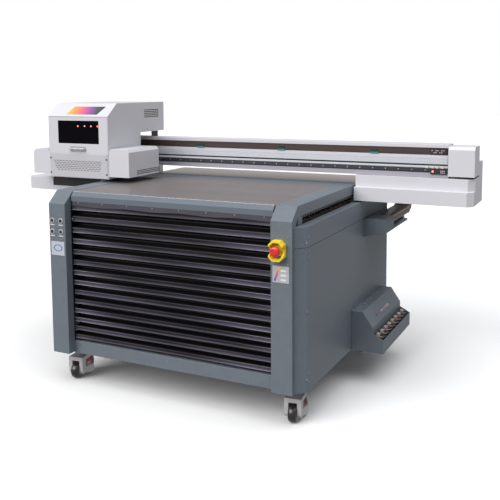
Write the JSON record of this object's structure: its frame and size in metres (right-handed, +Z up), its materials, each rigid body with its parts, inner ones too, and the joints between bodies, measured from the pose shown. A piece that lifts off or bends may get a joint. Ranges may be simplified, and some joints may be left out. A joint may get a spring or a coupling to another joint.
{
  "type": "flatbed uv printer",
  "caption": "Flatbed UV printer: grey cabinet with a rising bed behind pleated bellows, and a travelling gantry whose white carriage crosses over the bed.",
  "frame": {"origin": "on the floor, at the middle of the machine's bounding box", "axes": "+Z up, +X along the gantry beam to the operator's right, +Y from the front bellows to the rear deck"},
  "size_m": [2.239, 1.3424, 1.253],
  "materials": {
    "beam_aluminium": "anodised extrusion",
    "bed_aluminium": "hard anodised, matt",
    "bellows_cloth": "coated pleated cloth",
    "belt_rubber": "matt",
    "black_plastic": "satin",
    "black_steel": "satin black",
    "bottle_plastic": "moulded",
    "caster_alloy": "die cast",
    "chain_plastic": "matt",
    "dial_red": "moulded",
    "frame_steel": "satin",
    "guide_steel": "ground",
    "head_metal": "machined",
    "plate_aluminium": "brushed",
    "red_plastic": "gloss",
    "slate_paint": "fine texture powder coat",
    "wheel_nylon": "nylon",
    "white_paint": "smooth satin",
    "window_acrylic": "smoked acrylic",
    "yellow_plastic": "gloss",
    "zinc_screw": "zinc plated"
  },
  "bodies": {
    "base": {"base_frame": "frame_steel", "column_covers": "slate_paint", "top_rails": "slate_paint", "rear_top_rail": "slate_paint", "rear_deck": "slate_paint", "cabinet_covers": "slate_paint", "cover_screws": "zinc_screw", "y_linear_guides": "guide_steel", "y_motor": "black_steel", "chain_tray": "slate_paint", "y_drag_chain": "chain_plastic", "ink_station": "slate_paint", "ink_bottles": "bottle_plastic", "control_box": "frame_steel", "power_inlet": "black_plastic", "lift_tubes": "frame_steel", "front_bellows": "bellows_cloth", "estop_shroud": "yellow_plastic", "front_plates": "plate_aluminium"},
    "y_screw": {"y_drive_screw": "guide_steel"},
    "table": {"bed_plate": "bed_aluminium", "table_frame": "frame_steel", "table_front_rail": "slate_paint", "lift_rods": "guide_steel"},
    "gantry": {"gantry_arms": "frame_steel", "beam_extrusion": "beam_aluminium", "x_linear_guide": "guide_steel", "beam_top_cover": "white_paint", "right_housing": "white_paint", "left_housing": "white_paint", "right_end_cap": "white_paint", "capping_station": "black_plastic", "x_belt": "belt_rubber", "x_motor": "black_steel", "x_drag_chain": "chain_plastic"},
    "drive_pulley": {"x_drive_pulley": "guide_steel"},
    "idler_pulley": {"x_idler_pulley": "guide_steel"},
    "carriage": {"carriage_shell": "white_paint", "lamp_boxes": "white_paint", "print_heads": "head_metal", "x_slider_block": "plate_aluminium"},
    "door": {"carriage_door": "white_paint", "door_window": "window_acrylic"},
    "estop": {"estop_button": "red_plastic"},
    "button_1": {"push_button_1": "black_plastic"},
    "button_2": {"push_button_2": "black_plastic"},
    "button_3": {"push_button_3": "black_plastic"},
    "button_4": {"push_button_4": "black_plastic"},
    "fork_front_left": {"caster_front_left_fork": "caster_alloy"},
    "wheel_front_left": {"caster_front_left_wheel": "wheel_nylon"},
    "foot_front_left": {"caster_front_left_foot": "dial_red"},
    "fork_front_right": {"caster_front_right_fork": "caster_alloy"},
    "wheel_front_right": {"caster_front_right_wheel": "wheel_nylon"},
    "foot_front_right": {"caster_front_right_foot": "dial_red"},
    "fork_rear_left": {"caster_rear_left_fork": "caster_alloy"},
    "wheel_rear_left": {"caster_rear_left_wheel": "wheel_nylon"},
    "foot_rear_left": {"caster_rear_left_foot": "dial_red"},
    "fork_rear_right": {"caster_rear_right_fork": "caster_alloy"},
    "wheel_rear_right": {"caster_rear_right_wheel": "wheel_nylon"},
    "foot_rear_right": {"caster_rear_right_foot": "dial_red"}
  },
  "joints": [
    {"name": "table_lift", "type": "slide", "parent": "base", "child": "table", "axis": [0, 0, 1], "range_m": [-0.25, 0], "deforming": ["front_bellows"]},
    {"name": "gantry_travel", "type": "slide", "parent": "base", "child": "gantry", "axis": [0, 1, 0], "range_m": [-0.6, 0], "deforming": ["y_drag_chain"]},
    {"name": "y_screw_turn", "type": "hinge", "parent": "base", "child": "y_screw", "pos_m": [0.505, -0.12525, 0.798], "axis": [0, 1, 0], "range_deg": [-8640, 0]},
    {"name": "carriage_travel", "type": "slide", "parent": "gantry", "child": "carriage", "axis": [1, 0, 0], "range_m": [0, 1.4], "deforming": ["x_drag_chain"]},
    {"name": "drive_pulley_turn", "type": "hinge", "parent": "gantry", "child": "drive_pulley", "pos_m": [1.06, 0.14575, 1.038], "axis": [0, 0, 1], "range_deg": [0, 7300]},
    {"name": "idler_pulley_turn", "type": "hinge", "parent": "gantry", "child": "idler_pulley", "pos_m": [-1.03, 0.14575, 1.038], "axis": [0, 0, 1], "range_deg": [0, 7300]},
    {"name": "door_hinge", "type": "hinge", "parent": "carriage", "child": "door", "pos_m": [-0.6995, -0.27025, 1.1895], "axis": [-1, 0, 0], "range_deg": [0, 95]},
    {"name": "estop_press", "type": "slide", "parent": "base", "child": "estop", "axis": [0, 1, 0], "range_m": [0, 0.004]},
    {"name": "button_1_press", "type": "slide", "parent": "base", "child": "button_1", "axis": [0, 1, 0], "range_m": [0, 0.003], "stiffness_N_per_m": 300},
    {"name": "button_2_press", "type": "slide", "parent": "base", "child": "button_2", "axis": [0, 1, 0], "range_m": [0, 0.003], "stiffness_N_per_m": 300},
    {"name": "button_3_press", "type": "slide", "parent": "base", "child": "button_3", "axis": [0, 1, 0], "range_m": [0, 0.003], "stiffness_N_per_m": 300},
    {"name": "button_4_press", "type": "slide", "parent": "base", "child": "button_4", "axis": [0, 1, 0], "range_m": [0, 0.003], "stiffness_N_per_m": 300},
    {"name": "swivel_front_left", "type": "hinge", "parent": "base", "child": "fork_front_left", "pos_m": [-0.539, -0.46525, 0.148], "axis": [0, 0, 1], "continuous": true},
    {"name": "wheel_turn_front_left", "type": "hinge", "parent": "fork_front_left", "child": "wheel_front_left", "pos_m": [-0.53009, -0.52863, 0.0375], "axis": [0.9903, 0.1392, 0], "continuous": true},
    {"name": "foot_level_front_left", "type": "slide", "parent": "fork_front_left", "child": "foot_front_left", "axis": [0, 0, 1], "range_m": [-0.008, 0]},
    {"name": "swivel_front_right", "type": "hinge", "parent": "base", "child": "fork_front_right", "pos_m": [0.539, -0.46525, 0.148], "axis": [0, 0, 1], "continuous": true},
    {"name": "wheel_turn_front_right", "type": "hinge", "parent": "fork_front_right", "child": "wheel_front_right", "pos_m": [0.54791, -0.52863, 0.0375], "axis": [0.9903, 0.1392, 0], "continuous": true},
    {"name": "foot_level_front_right", "type": "slide", "parent": "fork_front_right", "child": "foot_front_right", "axis": [0, 0, 1], "range_m": [-0.008, 0]},
    {"name": "swivel_rear_left", "type": "hinge", "parent": "base", "child": "fork_rear_left", "pos_m": [-0.539, 0.39875, 0.148], "axis": [0, 0, 1], "continuous": true},
    {"name": "wheel_turn_rear_left", "type": "hinge", "parent": "fork_rear_left", "child": "wheel_rear_left", "pos_m": [-0.53009, 0.33537, 0.0375], "axis": [0.9903, 0.1392, 0], "continuous": true},
    {"name": "foot_level_rear_left", "type": "slide", "parent": "fork_rear_left", "child": "foot_rear_left", "axis": [0, 0, 1], "range_m": [-0.008, 0]},
    {"name": "swivel_rear_right", "type": "hinge", "parent": "base", "child": "fork_rear_right", "pos_m": [0.539, 0.39875, 0.148], "axis": [0, 0, 1], "continuous": true},
    {"name": "wheel_turn_rear_right", "type": "hinge", "parent": "fork_rear_right", "child": "wheel_rear_right", "pos_m": [0.54791, 0.33537, 0.0375], "axis": [0.9903, 0.1392, 0], "continuous": true},
    {"name": "foot_level_rear_right", "type": "slide", "parent": "fork_rear_right", "child": "foot_rear_right", "axis": [0, 0, 1], "range_m": [-0.008, 0]}
  ],
  "couplings": [
    {"joint": "y_screw_turn", "follows": "gantry_travel", "rad_per_m": 251.33},
    {"joint": "drive_pulley_turn", "follows": "carriage_travel", "rad_per_m": 90.909},
    {"joint": "idler_pulley_turn", "follows": "carriage_travel", "rad_per_m": 90.909}
  ]
}
